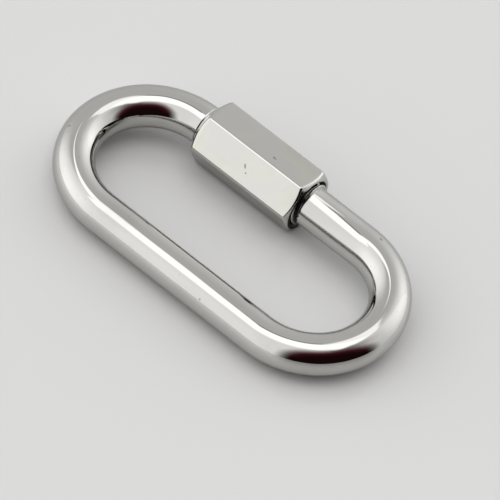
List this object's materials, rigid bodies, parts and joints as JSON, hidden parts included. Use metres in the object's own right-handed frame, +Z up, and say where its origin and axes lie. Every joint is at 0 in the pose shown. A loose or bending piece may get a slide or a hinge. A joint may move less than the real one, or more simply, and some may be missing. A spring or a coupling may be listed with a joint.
{
  "type": "chain quick link",
  "caption": "Oval quick link of bent round polished steel bar, closed by a hexagonal screw sleeve that runs back along its thread to open a gap for chain, ring or rope.",
  "frame": {"origin": "middle of the link's length and of its overall width, on the level surface that it lies on", "axes": "+X along the link, the way the sleeve runs to open; +Y across to the sleeve's long side; +Z up from the surface"},
  "size_m": [0.076, 0.0402, 0.0123],
  "materials": {
    "bar_steel": "mirror-polished stainless steel with fine handling marks",
    "sleeve_steel": "polished stainless steel, a little duller than the bar, with small pits"
  },
  "bodies": {
    "link_body": {"link_body": "bar_steel"},
    "screw_sleeve": {"screw_sleeve": "sleeve_steel"}
  },
  "joints": [
    {"name": "sleeve_travel", "type": "slide", "parent": "link_body", "child": "screw_sleeve", "axis": [1, 0, 0], "range_m": [0, 0.0125]}
  ]
}
